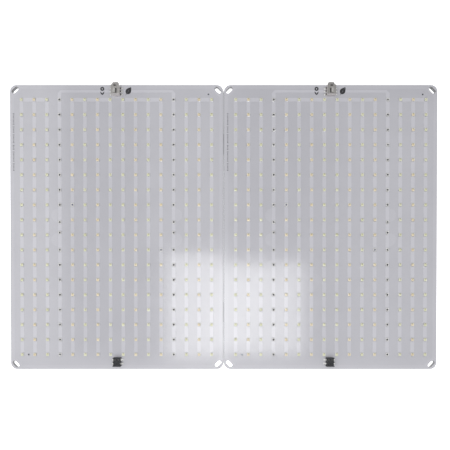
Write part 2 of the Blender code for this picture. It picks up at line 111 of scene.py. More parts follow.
def prism(bm, outline, low, high, holes=()):
    """An upright prism. Its holes run right through it."""
    loops = [outline, *holes]
    lows = [[bm.verts.new((u, v, low)) for u, v in loop] for loop in loops]
    highs = [[bm.verts.new((u, v, high)) for u, v in loop] for loop in loops]
    for bottom, top in zip(lows, highs):
        for i in range(len(bottom)):
            j = (i + 1) % len(bottom)
            bm.faces.new((bottom[i], bottom[j], top[j], top[i]))
    owner = [i for i, loop in enumerate(loops) for _ in loop]
    edges, first = [], 0
    for loop in loops:
        edges += [(first + i, first + (i + 1) % len(loop)) for i in range(len(loop))]
        first += len(loop)
    points = [Vector(p) for loop in loops for p in loop]
    result = delaunay_2d_cdt(points, edges, [], 1, 1e-8)
    for ring in (lows, highs):
        flat = [vertex for loop in ring for vertex in loop]
        for triangle in result[2]:
            corners = [result[3][i][0] for i in triangle]
            owners = {owner[i] for i in corners}
            if len(owners) > 1 or owners == {0}:
                bm.faces.new([flat[i] for i in corners])


def lofted(bm, loops):
    """A closed solid through loops of 3-D points that all have the same number of points."""
    rings = [[bm.verts.new(p) for p in loop] for loop in loops]
    for low, high in zip(rings, rings[1:]):
        for i in range(len(low)):
            j = (i + 1) % len(low)
            bm.faces.new((low[i], low[j], high[j], high[i]))
    bm.faces.new(rings[0][::-1])
    bm.faces.new(rings[-1])


def level(points, z):
    return [(u, v, z) for u, v in points]


def add_object(name, mesh, materials, slot, body=ROOT, stands_for=(), smooth_angle=40):
    obj = bpy.data.objects.new(name, mesh)
    bpy.context.scene.collection.objects.link(obj)
    for material in materials:
        mesh.materials.append(material)
    if smooth_angle:
        mesh.shade_smooth()
        mesh.set_sharp_from_angle(angle=math.radians(smooth_angle))
    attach(obj, body)
    if stands_for:
        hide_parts(*stands_for)
    return obj


def built(name, build, materials, slot, **options):
    """One piece from a function that fills a bmesh."""
    bm = bmesh.new()
    build(bm)
    bmesh.ops.recalc_face_normals(bm, faces=bm.faces)
    mesh = bpy.data.meshes.new(name)
    bm.to_mesh(mesh)
    bm.free()
    return add_object(name, mesh, materials, slot, **options)


BEVEL_SEGMENTS = 2
BEVEL_ANGLE = math.radians(35)
FLAT_ANGLE = math.radians(1)
WELD_REACH = 0.0001 * MM


def bevelled(obj, width):
    """Rounds each edge at which the faces turn by more than BEVEL_ANGLE."""
    modifier = obj.modifiers.new("edges", "BEVEL")
    modifier.width = width
    modifier.segments = BEVEL_SEGMENTS
    modifier.limit_method = "ANGLE"
    modifier.angle_limit = BEVEL_ANGLE
    modifier.harden_normals = True
    return obj


def softened(node, name, material, slot, width, body=ROOT):
    """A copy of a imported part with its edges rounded, which stands for that part."""
    bm = bmesh.new()
    bm.from_mesh(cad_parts[node].data)
    bmesh.ops.remove_doubles(bm, verts=bm.verts, dist=WELD_REACH)
    bmesh.ops.dissolve_limit(
        bm, angle_limit=FLAT_ANGLE, verts=bm.verts, edges=bm.edges, delimit=set()
    )
    # A bevel can tear a concave face, such as the one round the selector's knob.
    bmesh.ops.connect_verts_concave(bm, faces=bm.faces)
    bmesh.ops.recalc_face_normals(bm, faces=bm.faces)
    mesh = bpy.data.meshes.new(name)
    bm.to_mesh(mesh)
    bm.free()
    obj = add_object(name, mesh, [material], slot, body=body, stands_for=[node])
    return bevelled(obj, width)


def repeated(name, shape, places, materials, slot, stands_for):
    """Copies of one shape (points, faces, material indices, smooth flags) at many places."""
    points, faces, finishes, smooth = shape
    all_points, all_faces = [], []
    for x, y, z in places:
        first = len(all_points)
        all_points += [(x + u, y + v, z + w) for u, v, w in points]
        all_faces += [[first + i for i in face] for face in faces]
    mesh = bpy.data.meshes.new(name)
    mesh.from_pydata(all_points, [], all_faces)
    mesh.polygons.foreach_set("material_index", finishes * len(places))
    mesh.polygons.foreach_set("use_smooth", smooth * len(places))
    mesh.validate()
    return add_object(name, mesh, materials, slot, stands_for=stands_for, smooth_angle=0)


# Materials


# A Mix node has sockets for several kinds of data. These are the ones for colour.
MIX_SHARE, MIX_A, MIX_B, MIX_RESULT = 0, 6, 7, 2


class Nodes:
    """Short calls for a material's node tree, in the object's own coordinates."""

    def __init__(self, name):
        self.material = bpy.data.materials.new(name)
        self.material.use_nodes = True
        self.tree = self.material.node_tree
        self.shader = self.tree.nodes["Principled BSDF"]
        self.place = self.tree.nodes.new("ShaderNodeTexCoord").outputs["Object"]

    def node(self, kind, **inputs):
        made = self.tree.nodes.new(kind)
        for key, value in inputs.items():
            self.put(made.inputs[key.replace("_", " ")], value)
        return made

    def put(self, socket, value):
        if isinstance(value, bpy.types.NodeSocket):
            self.tree.links.new(value, socket)
        else:
            socket.default_value = value

    def set(self, **values):
        for key, value in values.items():
            self.put(self.shader.inputs[key.replace("_", " ")], value)

    def stretch(self, scale):
        mapping = self.node("ShaderNodeMapping", Vector=self.place)
        mapping.inputs["Scale"].default_value = scale
        return mapping.outputs["Vector"]

    def noise(self, size, detail=3.0, rough=0.55, vector=None):
        """Noise whose grains are about this many metres across."""
        return self.node(
            "ShaderNodeTexNoise",
            Vector=vector or self.place,
            Scale=1 / size,
            Detail=detail,
            Roughness=rough,
        ).outputs["Fac"]

    def ramp(self, fac, *stops):
        """Colours between (position, colour) stops."""
        made = self.node("ShaderNodeValToRGB", Fac=fac)
        ramp = made.color_ramp
        while len(ramp.elements) < len(stops):
            ramp.elements.new(0.5)
        for element, (position, colour) in zip(ramp.elements, stops):
            element.position = position
            element.color = (*colour, 1.0)
        return made.outputs["Color"]

    def scaled(self, fac, low, high, start=0.3, end=0.7):
        """Takes start to low and end to high."""
        made = self.node("ShaderNodeMapRange")
        for index, value in enumerate((fac, start, end, low, high)):
            self.put(made.inputs[index], value)
        return made.outputs["Result"]

    def absolute(self, value):
        made = self.node("ShaderNodeMath")
        made.operation = "ABSOLUTE"
        self.put(made.inputs[0], value)
        return made.outputs["Value"]

    def mix(self, fac, a, b):
        made = self.tree.nodes.new("ShaderNodeMix")
        made.data_type = "RGBA"
        self.put(made.inputs[MIX_SHARE], fac)
        self.put(made.inputs[MIX_A], a if isinstance(a, bpy.types.NodeSocket) else (*a, 1.0))
        self.put(made.inputs[MIX_B], b if isinstance(b, bpy.types.NodeSocket) else (*b, 1.0))
        return made.outputs[MIX_RESULT]

    def bump(self, height, depth, under=None):
        made = self.node("ShaderNodeBump", Strength=1.0, Distance=depth, Height=height)
        if under is not None:
            self.put(made.inputs["Normal"], under)
        return made.outputs["Normal"]


def shade(colour, share):
    return tuple(min(1.0, c * share) for c in colour)


def solder_mask(name, colour, gloss=0.1):
    """Glossy white mask: faint clouding, levelling ripples, and dust specks."""
    n = Nodes(name)
    cloud = n.noise(28 * MM, 4)
    speck = n.noise(0.35 * MM, 2)
    base = n.ramp(cloud, (0.3, shade(colour, 0.975)), (0.7, shade(colour, 1.02)))
    dust = n.scaled(speck, 0.0, 0.35, 0.72, 0.8)
    n.set(Base_Color=n.mix(dust, base, shade(colour, 0.7)), IOR=1.52)
    n.set(Roughness=n.scaled(n.noise(9 * MM, 5), gloss, gloss + 0.05))
    ripple = n.bump(n.noise(1.6 * MM, 2), 0.006 * MM)
    n.set(Normal=n.bump(n.noise(0.25 * MM, 2), 0.0015 * MM, ripple))
    return n


def level_share(n):
    """1 on faces that look up or down, 0 on upright ones."""
    geometry = n.tree.nodes.new("ShaderNodeNewGeometry").outputs["True Normal"]
    upright = n.node("ShaderNodeSeparateXYZ", Vector=geometry).outputs["Z"]
    return n.scaled(n.absolute(upright), 0.0, 1.0, 0.5, 0.6)


def board_material(name, colour, core):
    """Mask on the two faces, and a dark layered edge between them: the core's own tone, set darker
    as painted shade on the walls.
    """
    made = solder_mask(name, colour)
    flat = level_share(made)
    layers = made.noise(0.12 * MM, 3, 0.6, made.stretch((0.02, 0.02, 1.0)))
    # The edge colour is partly the core's layered tone and partly painted shade on the board's
    # edges and slot walls.
    edge = made.ramp(layers, (0.35, shade(core, 0.7)), (0.65, shade(core, 1.25)))
    face = made.shader.inputs["Base Color"].links[0].from_socket
    made.set(Base_Color=made.mix(flat, edge, face))
    return made.material


def moulded(name, colour, roughness, grain=0.12 * MM, depth=0.006 * MM, ior=1.45):
    """Moulded plastic: eroded-tool texture, with a slightly uneven tone."""
    n = Nodes(name)
    n.set(IOR=ior)
    tone = n.noise(1.8 * MM, 4)
    n.set(Base_Color=n.ramp(tone, (0.3, shade(colour, 0.85)), (0.7, shade(colour, 1.15))))
    n.set(Roughness=n.scaled(n.noise(0.5 * MM, 3), roughness - 0.06, roughness + 0.08))
    n.set(Normal=n.bump(n.noise(grain, 3), depth))
    return n.material


def knob_material(name, colour, case_top):
    """Nylon with an uneven tone, darkened below the case's top as painted shade from the slot."""
    n = Nodes(name)
    tone = n.noise(0.8 * MM, 4)
    pale = n.ramp(tone, (0.3, shade(colour, 0.88)), (0.7, shade(colour, 1.1)))
    height = n.node("ShaderNodeSeparateXYZ", Vector=n.place).outputs["Z"]
    # Painted shade: below the case's top the knob's colour falls to 0.14 of its tone.
    share = n.scaled(height, 0.0, 1.0, case_top - 0.3 * MM, case_top)
    n.set(Base_Color=n.mix(share, shade(colour, 0.14), pale))
    n.set(Roughness=n.scaled(n.noise(0.5 * MM, 3), 0.34, 0.5))
    n.set(Normal=n.bump(n.noise(0.12 * MM, 3), 0.006 * MM))
    return n.material


def metal(name, colour, roughness, lay=(1, 1, 1), grain=0.3 * MM, depth=0.004 * MM, side=1.0):
    """Metal with a lay of fine lines along the axis that lay squeezes, and duller patches.
    Its upright faces are painted brighter or darker by the share side: a painted reflection above
    1, painted shade below 1."""
    n = Nodes(name)
    lines = n.noise(grain, 4, 0.65, n.stretch(lay))
    patches = n.noise(14 * MM, 5)
    base = n.ramp(lines, (0.3, shade(colour, 0.88)), (0.7, shade(colour, 1.06)))
    wear_and_painted_side = n.mix(n.scaled(patches, 0.0, 0.5, 0.45, 0.75), base, shade(colour, 0.82))
    # Painted light: upright faces take the colour scaled by side, brighter as a painted reflection
    # or darker as painted shade.
    if side != 1.0:
        painted_side_tone = n.ramp(lines, (0.3, shade(colour, 0.9 * side)), (0.7, shade(colour, 1.05 * side)))
        wear_and_painted_side = n.mix(level_share(n), painted_side_tone, wear_and_painted_side)
    n.set(Base_Color=wear_and_painted_side, Metallic=1.0)
    n.set(Roughness=n.scaled(lines, roughness - 0.07, roughness + 0.09))
    n.set(Normal=n.bump(lines, depth))
    return n.material


def solder(name, dark, bright):
    """Reflowed tin, dull and frosted."""
    n = Nodes(name)
    frost = n.noise(0.18 * MM, 4)
    n.set(Base_Color=n.ramp(frost, (0.3, dark), (0.7, bright)))
    n.set(Metallic=1.0, Roughness=n.scaled(frost, 0.36, 0.55))
    n.set(Normal=n.bump(frost, 0.012 * MM))
    return n.material


def phosphor(name, pale, deep):
    """Phosphor in clear silicone. Its tone changes a little from package to package."""
    n = Nodes(name)
    lot = n.noise(9 * MM, 1)
    grain = n.noise(0.1 * MM, 3)
    base = n.ramp(lot, (0.35, pale), (0.65, deep))
    n.set(Base_Color=n.mix(n.scaled(grain, 0.0, 0.3), base, shade(deep, 0.8)), IOR=1.42)
    n.set(Roughness=n.scaled(grain, 0.14, 0.28), Coat_Weight=0.4, Coat_Roughness=0.06)
    n.set(Normal=n.bump(grain, 0.004 * MM))
    return n.material


def lens(name, colour):
    """A coloured clear lens over a dark chip."""
    n = Nodes(name)
    swirl = n.noise(0.4 * MM, 2)
    n.set(Base_Color=n.ramp(swirl, (0.35, shade(colour, 0.7)), (0.65, shade(colour, 1.3))))
    n.set(Roughness=n.scaled(swirl, 0.06, 0.14), Coat_Weight=1.0, Coat_Roughness=0.03, IOR=1.5)
    return n.material


def ink(name):
    n = Nodes(name)
    screen = n.noise(0.12 * MM, 3)
    n.set(Base_Color=n.ramp(screen, (0.3, (0.012, 0.012, 0.015)), (0.75, (0.03, 0.03, 0.035))))
    n.set(Roughness=n.scaled(screen, 0.4, 0.6), Normal=n.bump(screen, 0.004 * MM))
    return n.material


def rubbery(name, colour):
    n = Nodes(name)
    filler = n.noise(0.3 * MM, 4)
    n.set(Base_Color=n.ramp(filler, (0.3, shade(colour, 0.8)), (0.7, shade(colour, 1.15))))
    n.set(Roughness=n.scaled(filler, 0.65, 0.85), Normal=n.bump(filler, 0.02 * MM))
    return n.material


MASK = (0.441, 0.437, 0.468)
FINISH = {
    "board": board_material("board_mask", MASK, (0.20, 0.19, 0.18)),
    "track": solder_mask("mask_over_copper", shade(MASK, 1.14)).material,
    "pour": solder_mask("mask_over_pour", shade(MASK, 1.05), 0.11).material,
    "ink": ink("legend_ink"),
    "package": moulded("package_white", (0.60, 0.60, 0.58), 0.36, 0.08 * MM, 0.002 * MM),
    "cool": phosphor("phosphor_cool", (0.66, 0.66, 0.48), (0.61, 0.62, 0.41)),
    "warm": phosphor("phosphor_warm", (0.71, 0.62, 0.45), (0.68, 0.57, 0.38)),
    "red_lens": lens("red_lens", (0.030, 0.024, 0.042)),
    # Darker phosphor over the chip: the chip's own tone and painted shade on each package's upper
    # edge.
    "chip": phosphor("phosphor_over_chip", (0.46, 0.43, 0.30), (0.42, 0.38, 0.25)),
    "deep_lens": lens("deep_lens", (0.10, 0.10, 0.16)),
    "solder": solder("reflowed_solder", (0.40, 0.40, 0.40), (0.58, 0.58, 0.57)),
    # A brighter copy of the reflowed solder for the switch pins: painted highlight.
    "pad_solder_painted_highlight": solder("pad_solder_painted_highlight", (0.58, 0.58, 0.57), (0.74, 0.74, 0.72)),
    # side 1.9: the case's upright faces are painted brighter, a painted reflection of the bright
    # board.
    "case": metal(
        "nickel_case", (0.445, 0.428, 0.412), 0.34, (1, 0.1, 1), 0.2 * MM, 0.003 * MM, 1.9
    ),
    "base": moulded("phenolic_base", (0.055, 0.04, 0.032), 0.5),
    "knob": knob_material("knob_nylon", (0.40, 0.39, 0.375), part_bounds("left_switch_case")[1].z),
    "bronze": metal("spring_bronze", (0.72, 0.50, 0.30), 0.3, (0.1, 1, 1)),
    "contact": metal("tinned_contact", (0.64, 0.64, 0.62), 0.4, (1, 0.2, 1)),
    "spring": metal("spring_steel", (0.15, 0.145, 0.14), 0.42, (0.1, 1, 1)),
    "housing": moulded("terminal_black", (0.011, 0.012, 0.015), 0.4, 0.09 * MM, 0.004 * MM, 1.38),
    "button": moulded("button_black", (0.012, 0.013, 0.016), 0.42),
    # side 0.35: upright faces of the spreaders and bars are painted darker, painted shade on their
    # walls and slot sides.
    "aluminium": metal(
        "rolled_aluminium", (0.66, 0.67, 0.69), 0.58, (0.02, 1, 1), 0.35 * MM, 0.004 * MM, 0.35
    ),
    "screw": metal("zinc_screw", (0.55, 0.56, 0.58), 0.26, (1, 1, 0.2), 0.2 * MM),
    "pad": rubbery("thermal_pad", (0.36, 0.40, 0.46)),
}


# Boards


def repaint(node, material):
    """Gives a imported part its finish."""
    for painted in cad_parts[node].material_slots:
        painted.material = material


def board_middle(side):
    """The middle of a board's top face."""
    low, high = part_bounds(f"{side}_circuit_board")
    return (low.x + high.x) / 2, (low.y + high.y) / 2, high.z


def column_x(column):
    return (column - (COLUMNS + 1) / 2) * PITCH_X


def row_y(row, red=False):
    y = ((ROWS + 1) / 2 - row) * PITCH_Y
    return math.copysign(RED_MIDDLE_Y, y) if red and abs(y) < PITCH_Y else y


BORDER = 4 * MM
BORDER_GAP = 0.45 * MM
BORDER_CUT = 8 * MM
BOARD_CORNER_R = 6.5 * MM
SLOT_L = 8 * MM
SLOT_W = 4 * MM
SLOT_EDGE = 5.2 * MM
SLOT_MARGIN = 0.4 * MM
POUR_T = 0.03 * MM
TRACK_T = 0.07 * MM
PATCH_R = 6.5 * MM
PATCH_Y = 12.2 * MM
PATCH_INSET = 1.15 * TRACK_W / 2


def slot_outline(x, y, angle):
    """A corner slot with the margin that the pour leaves round it."""
    half, radius = (SLOT_L - SLOT_W) / 2, SLOT_W / 2 + SLOT_MARGIN
    ends = arc((half, 0), radius, -90, 90, 8) + arc((-half, 0), radius, 90, 270, 8)
    return moved(ends, (x, y), angle)


def copper_border(side):
    """The pour round the edge, seen through the mask. It widens at the corner slots."""
    x, y, top = board_middle(side)
    low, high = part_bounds(f"{side}_circuit_board")
    width, height = high.x - low.x, high.y - low.y
    outer = rounded_rectangle(
        width - 2 * BORDER_GAP, height - 2 * BORDER_GAP, BOARD_CORNER_R - BORDER_GAP
    )
    u, v = width / 2 - BORDER, height / 2 - BORDER
    inner = [(u, v - BORDER_CUT), (u - BORDER_CUT, v)]
    inner += [(BORDER_CUT - u, v), (-u, v - BORDER_CUT)]
    inner += [(-u, BORDER_CUT - v), (BORDER_CUT - u, -v)]
    inner += [(u - BORDER_CUT, -v), (u, BORDER_CUT - v)]
    reach_x, reach_y = width / 2 - SLOT_EDGE, height / 2 - SLOT_EDGE
    slots = [
        slot_outline(sx * reach_x, sy * reach_y, -45 * sx * sy)
        for sx in (-1, 1)
        for sy in (-1, 1)
    ]

    def build(bm):
        holes = [moved(loop, (x, y)) for loop in [inner, *slots]]
        prism(bm, moved(outer, (x, y)), top - SINK, top + POUR_T, holes)

    return built(f"{side}_copper_border", build, [FINISH["pour"]], "solder_mask")


def copper_patches(side):
    """Half-round pours outside each red string, above and below the middle."""
    x, y, top = board_middle(side)

    def build(bm):
        for column in RED_COLUMNS:
            outward = -1 if column_x(column) < 0 else 1
            edge = column_x(column) + outward * PATCH_INSET
            start = -90 if outward > 0 else 90
            for v in (-PATCH_Y, PATCH_Y):
                half = arc((edge, v), PATCH_R, start, start + 180, 20)
                prism(bm, moved(half, (x, y)), top - SINK, top + POUR_T)

    return built(f"{side}_copper_patches", build, [FINISH["pour"]], "solder_mask")


def comb_outline(columns):
    """A block's track: a leg down each column, joined along the top."""
    half = TRACK_W / 2
    top, bottom = row_y(1) + half, row_y(ROWS) - half
    points = [(column_x(columns[-1]) + half, top), (column_x(columns[0]) - half, top)]
    for column in columns:
        x = column_x(column)
        if column != columns[0]:
            points.append((x - half, top - TRACK_W))
        points += [(x - half, bottom), (x + half, bottom)]
        if column != columns[-1]:
            points.append((x + half, top - TRACK_W))
    return points


def red_outline(column):
    """A red string's track: down its column, and along the top towards the switch."""
    x, half, feed = abs(column_x(column)), TRACK_W / 2, FEED_W / 2
    bottom = row_y(ROWS) - half
    points = [(x + half, bottom), (x + half, FEED_Y + feed - FEED_CHAMFER)]
    points += [(x + half - FEED_CHAMFER, FEED_Y + feed), (FEED_END, FEED_Y + feed)]
    points += [(FEED_END, FEED_Y - feed), (x - half, FEED_Y - feed), (x - half, bottom)]
    return [(math.copysign(u, column_x(column)), v) for u, v in points]


# LED packages


PEAK_RISE = 0.01 * MM
RIM_Z = PACKAGE_H - 0.015 * MM


def square_loop(half, radius, z):
    return level(rounded_rectangle(2 * half, 2 * half, radius, 3), z)


def template(loops):
    """Points, faces, material index and smoothness from (loop, finish, smooth) rows, closed at
    the bottom by a cap and at the top by a point."""
    points, faces, finishes, smooth = [], [], [], []
    count = len(loops[0][0])
    for loop, _, _ in loops:
        points += loop
    faces.append(list(range(count))[::-1])
    finishes.append(loops[0][1])
    smooth.append(False)
    for ring, (_, finish, soft) in enumerate(loops[1:]):
        first = ring * count
        for i in range(count):
            j = (i + 1) % count
            faces.append([first + i, first + j, first + count + j, first + count + i])
            finishes.append(finish)
            smooth.append(soft)
    last = (len(loops) - 1) * count
    top = max(z for _, _, z in loops[-1][0])
    points.append((0.0, 0.0, top + PEAK_RISE))
    for i in range(count):
        faces.append([last + i, last + (i + 1) % count, len(points) - 1])
        finishes.append(loops[-1][1])
        smooth.append(True)
    return points, faces, finishes, smooth


def package_body():
    """The white frame, from the seat up over its rim and down into its cup."""
    h = PACKAGE / 2
    return [
        (square_loop(h - 0.06 * MM, 0.14 * MM, 0.0), 0, False),
        (square_loop(h, 0.16 * MM, 0.2 * MM), 0, False),
        (square_loop(h, 0.16 * MM, PACKAGE_H - 0.1 * MM), 0, False),
        (square_loop(h - 0.07 * MM, 0.14 * MM, RIM_Z), 0, True),
        (square_loop(1.36 * MM, 0.4 * MM, RIM_Z), 0, False),
        (square_loop(1.28 * MM, 0.4 * MM, PACKAGE_H - 0.14 * MM), 0, False),
    ]


def white_template():
    """The cup is filled with a slightly domed phosphor."""
    dome = [
        (square_loop(1.05 * MM, 0.5 * MM, PACKAGE_H - 0.08 * MM), 1, True),
        (square_loop(0.5 * MM, 0.45 * MM, PACKAGE_H - 0.035 * MM), 1, True),
        (square_loop(0.2 * MM, 0.19 * MM, PACKAGE_H - 0.012 * MM), 1, True),
    ]
    return with_chip_and_shade(template(package_body() + dome))


# The chip sits by the upper edge: its darker patch is partly the chip and partly painted shade on
# the package's upper edge.
CHIP_SIZE = (1.5 * MM, 0.8 * MM)
CHIP_AT = (0.15 * MM, 0.72 * MM)


def with_chip_and_shade(shape):
    """Adds the chip that shows through the phosphor, nearer the package's upper end, where its
    darker tone also paints the shade along that edge.
    """
    points, faces, finishes, smooth = (list(part) for part in shape)
    first, outline = len(points), rectangle(*CHIP_SIZE, CHIP_AT)
    points += level(outline, PACKAGE_H - 0.12 * MM) + level(outline, PACKAGE_H - 0.01 * MM)
    chip = [[3, 2, 1, 0], [4, 5, 6, 7]]
    chip += [[i, (i + 1) % 4, 4 + (i + 1) % 4, 4 + i] for i in range(4)]
    faces += [[first + i for i in face] for face in chip]
    return points, faces, finishes + [2] * len(chip), smooth + [False] * len(chip)


def lens_template():
    """A dark chip lens stands in the middle of the white cup."""

    def ring(radius, z):
        """A circle with as many points as square_loop, turned to match its corners."""
        points = circle(radius, 16)
        return level(points[2:] + points[:2], z)

    dome = [
        (ring(0.92 * MM, PACKAGE_H - 0.3 * MM), 0, True),
        (ring(0.88 * MM, PACKAGE_H - 0.22 * MM), 1, True),
        (ring(0.75 * MM, PACKAGE_H - 0.12 * MM), 1, True),
        (ring(0.5 * MM, PACKAGE_H - 0.045 * MM), 1, True),
        (ring(0.2 * MM, PACKAGE_H - 0.012 * MM), 1, True),
    ]
    return template(package_body() + dome)


FILLET_W = 2.3 * MM
FILLET_REACH = 0.32 * MM
FILLET_H = 0.24 * MM
FILLET_WAIST_H = 0.42 * FILLET_H
FILLET_LIP = 0.03 * MM


def fillet_template():
    """A solder fillet at each end of a package, concave from its wall down to its pad."""
    points, faces = [], []
    for end in (-1, 1):
        wall, out = end * (PACKAGE / 2 - 0.05 * MM), end * (PACKAGE / 2 + FILLET_REACH)
        waist = end * (PACKAGE / 2 + 0.1 * MM)
        profile = [(wall, FILLET_H), (waist, FILLET_WAIST_H)]
        profile += [(out, FILLET_LIP), (out, 0), (wall, 0)]
        first = len(points)
        for u in (-FILLET_W / 2, FILLET_W / 2):
            points += [(u, v, w) for v, w in profile]
        count = len(profile)
        near = [first + i for i in range(count)]
        far = [first + count + i for i in range(count)]
        made = [near, far[::-1]]
        for i in range(count):
            j = (i + 1) % count
            made.append([near[i], far[i], far[j], near[j]])
        faces += made if end < 0 else [face[::-1] for face in made]
    return points, faces, [0] * len(faces), [False] * len(faces)


def led_places(side, columns, red=False, only=None, without=()):
    """The packages' places in these columns. only and without hold (column, row) pairs."""
    x, y, _ = board_middle(side)
    rows = range(1, ROWS + 1)
    return [
        (x + column_x(c), y + row_y(r, red))
        for c in columns
        for r in rows
        if (only is None or (c, r) in only) and (c, r) not in without
    ]


def led_block(side, name, node, outline, groups):
    """One string block: its track under the mask, its packages and their solder."""
    x, y, top = board_middle(side)
    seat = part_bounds(node)[1].z - PACKAGE_H

    def track(bm):
        prism(bm, moved(outline, (x, y)), top - SINK, top + TRACK_T)

    copper = [FINISH["track"]]
    piece = built(f"{side}_track_{name}", track, copper, "solder_mask", stands_for=[node])
    bevelled(piece, 0.04 * MM)
    solder_places = []
    for finish, shape, slot, places in groups:
        if places:
            solder_places += places
            levels = [(u, v, seat) for u, v in places]
            materials = [FINISH["package"], FINISH[finish], FINISH["chip"]]
            repeated(f"{side}_{finish}_{name}", shape, levels, materials, slot, [node])
    feet = [(u, v, top + TRACK_T) for u, v in solder_places]
    tin = [FINISH["solder"]]
    repeated(f"{side}_solder_{name}", fillet_template(), feet, tin, "tinned_contact", [node])


def led_strings(side):
    white, dark = white_template(), lens_template()
    for first, last in WHITE_BLOCKS:
        columns = range(first, last + 1)
        warm = [c for c in columns if c in WARM_COLUMNS]
        cool = [c for c in columns if c not in WARM_COLUMNS]
        deep = [p for p in DEEP_PACKAGES if p[0] in columns]
        groups = [
            ("cool", white, "white_leds", led_places(side, cool, without=deep)),
            ("warm", white, "white_leds", led_places(side, warm, without=deep)),
            ("deep_lens", dark, "red_leds", led_places(side, columns, only=deep)),
        ]
        node = f"{side}_led_strings_{first}_to_{last}"
        led_block(side, f"{first}_to_{last}", node, comb_outline(columns), groups)
    for column in RED_COLUMNS:
        groups = [("red_lens", dark, "red_leds", led_places(side, [column], red=True))]
        node = f"{side}_red_led_string_{column}"
        led_block(side, str(column), node, red_outline(column), groups)


# Legend: a flower, a leaf and a plain scale, with no lettering

INK_T = 0.12 * MM
FLOWER_X, FLOWER_Y = -14.2 * MM, 138 * MM
LEAF_X, LEAF_Y = 12.2 * MM, 136.3 * MM
PETALS = 8
PETAL_RISE = 0.16 * MM
FLOWER_R = 2 * MM
FLOWER_EYE_R = 0.72 * MM
FLOWER_DROP = 5.9 * MM
FLOWER_LEAF = (3.9 * MM, 1.25 * MM)
FLOWER_LEAF_TURN = 32
LEAF_TURN = 55


def flower(bm, x, y, low, high):
    """A flower's head, with two leaves spread below it."""
    steps = 64
    outline = []
    for i in range(steps):
        a = 2 * math.pi * i / steps
        radius = FLOWER_R + PETAL_RISE * math.cos(PETALS * a)
        outline.append((radius * math.cos(a), radius * math.sin(a)))
    prism(bm, moved(outline, (x, y)), low, high, [circle(FLOWER_EYE_R, 20, (x, y))])
    for turn in (FLOWER_LEAF_TURN, -FLOWER_LEAF_TURN):
        tip = blade(*FLOWER_LEAF)
        prism(bm, moved(tip, (x, y - FLOWER_DROP), turn + 90), low, high)


def blade(length, width):
    """A leaf blade from its foot at the origin along +X."""
    steps = 10
    upper = [
        (length * t / steps, width / 2 * math.sin(math.pi * (t / steps) ** 0.8))
        for t in range(steps + 1)
    ]
    return upper + [(u, -v) for u, v in upper[-2:0:-1]]


def leaf(bm, x, y, low, high):
    """A pointed leaf, split along its vein."""
    length, width, vein, steps = 8.2 * MM, 5.4 * MM, 0.1 * MM, 16
    for sign in (-1, 1):
        half = []
        for t in range(steps + 1):
            share = t / steps
            bulge = width / 2 * math.sin(math.pi * share**0.75) ** 0.9 if 0 < t < steps else 0
            half.append(((share - 0.5) * length, sign * max(bulge, vein)))
        back = [((t / steps - 0.5) * length, sign * vein / 2) for t in (steps - 1, 2)]
        outline = half + back
        prism(bm, moved(outline, (x, y), LEAF_TURN), low, high)
    stalk = rectangle(1.6 * MM, 0.3 * MM)
    prism(bm, moved(stalk, (x - 2.7 * MM, y - 3.9 * MM), LEAF_TURN), low, high)


SCALE_X = -102.9 * MM
SCALE_TOP = 113.3 * MM
# How many marks each group has
SCALE_MARKS = (9, 5, 7, 4, 8, 6)
MARK_PITCH = 1.31 * MM
MARK_W = 1 * MM
END_MARK_W = 1.5 * MM
MARK_H = 0.45 * MM


def legend(side):
    x, y, top = board_middle(side)
    low, high = top - SINK, top + INK_T

    def build(bm):
        flower(bm, x + FLOWER_X, y + FLOWER_Y, low, high)
        leaf(bm, x + LEAF_X, y + LEAF_Y, low, high)
        v = y + SCALE_TOP
        for marks in SCALE_MARKS:
            for mark in range(marks):
                width = END_MARK_W if mark in (0, marks - 1) else MARK_W
                prism(bm, rectangle(width, MARK_H, (x + SCALE_X, v)), low, high)
                v -= MARK_PITCH
            v -= MARK_PITCH

    return built(f"{side}_legend", build, [FINISH["ink"]], "solder_mask")


# Selector switch


PIN_FOOT_X = 6 * MM
PIN_INSET = 0.45 * MM
POLES = (-3 * MM, 0, 3 * MM)
# Width, height and corner radius of the solder at each height above the board
PIN_SOLDER = (
    (2.3 * MM, 1.8 * MM, 0.5 * MM, -SINK),
    (2.0 * MM, 1.5 * MM, 0.4 * MM, 0.4 * MM),
    (1.5 * MM, 1.1 * MM, 0.3 * MM, 0.5 * MM),
)


def switch(side):
    selector = f"{side}_selector"
    softened(
        f"{side}_switch_base", f"{side}_switch_plate", FINISH["base"], "black_moulding", 0.06 * MM
    )
    softened(
        f"{side}_switch_case", f"{side}_switch_shell", FINISH["case"], "nickel_case", 0.12 * MM
    )
    softened(
        f"{side}_switch_slider",
        f"{side}_switch_knob",
        FINISH["knob"],
        "slider_nylon",
        0.12 * MM,
        selector,
    )
    knob_grip(side, selector)
    feet = [(sx * (PIN_FOOT_X - PIN_INSET), pole) for sx in (-1, 1) for pole in POLES]
    base_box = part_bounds(f"{side}_switch_base")
    solder_pads(side, base_box, "switch_solder", FINISH["pad_solder_painted_highlight"], feet, PIN_SOLDER)
    repaint(f"{side}_switch_detent_spring", FINISH["spring"])
    for pole in "abc":
        repaint(f"{side}_switch_wiper_{pole}", FINISH["bronze"])


GRIP_RIBS = 5
GRIP_PITCH = 0.75 * MM
# From the slider's lower end to the middle of its knob
KNOB_MIDDLE = 2.2 * MM


